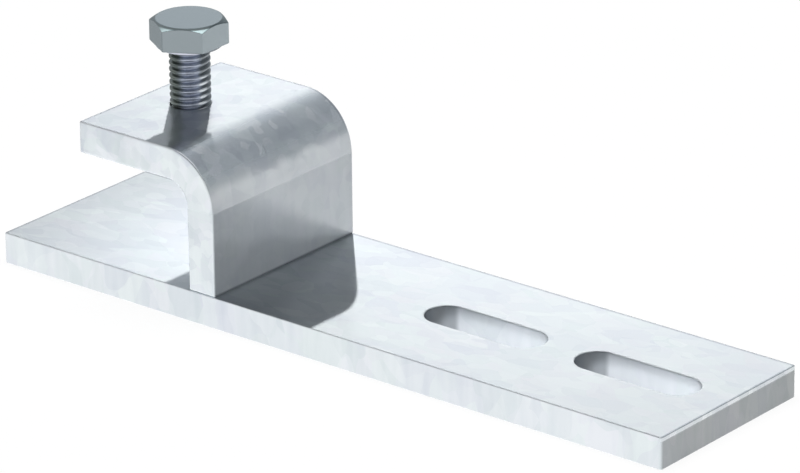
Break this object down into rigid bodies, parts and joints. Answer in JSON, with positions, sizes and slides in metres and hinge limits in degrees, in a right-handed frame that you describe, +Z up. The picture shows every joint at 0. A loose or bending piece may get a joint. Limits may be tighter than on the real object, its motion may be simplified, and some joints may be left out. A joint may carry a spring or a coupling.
{
  "type": "h-beam bracket",
  "caption": "Flat galvanised steel bracket with a bent jaw and a hex clamp screw that grips a beam flange, and slotted holes for bolting on a support.",
  "frame": {"origin": "centre of the bracket's underside, which is also the bottom centre of its box", "axes": "+X along the base plate from the jaw towards the slots, +Y across its width, +Z up along the clamp screw towards its head"},
  "size_m": [0.2, 0.052, 0.0651],
  "materials": {
    "galvanised_plate": "hot-dip galvanised, satin, with soft spangle",
    "galvanised_jaw": "hot-dip galvanised, satin, with soft spangle",
    "galvanised_weld": "hot-dip galvanised over a rippled weld bead",
    "zinc_plated_screw": "electro-plated zinc, semi-gloss, blue passivated"
  },
  "bodies": {
    "bracket": {"base_plate": "galvanised_plate", "clamp_jaw": "galvanised_jaw", "weld_seam": "galvanised_weld"},
    "screw": {"clamp_screw": "zinc_plated_screw"}
  },
  "joints": [
    {"name": "screw_travel", "type": "slide", "parent": "bracket", "child": "screw", "axis": [0, 0, 1], "range_m": [-0.015, 0.0065]}
  ]
}
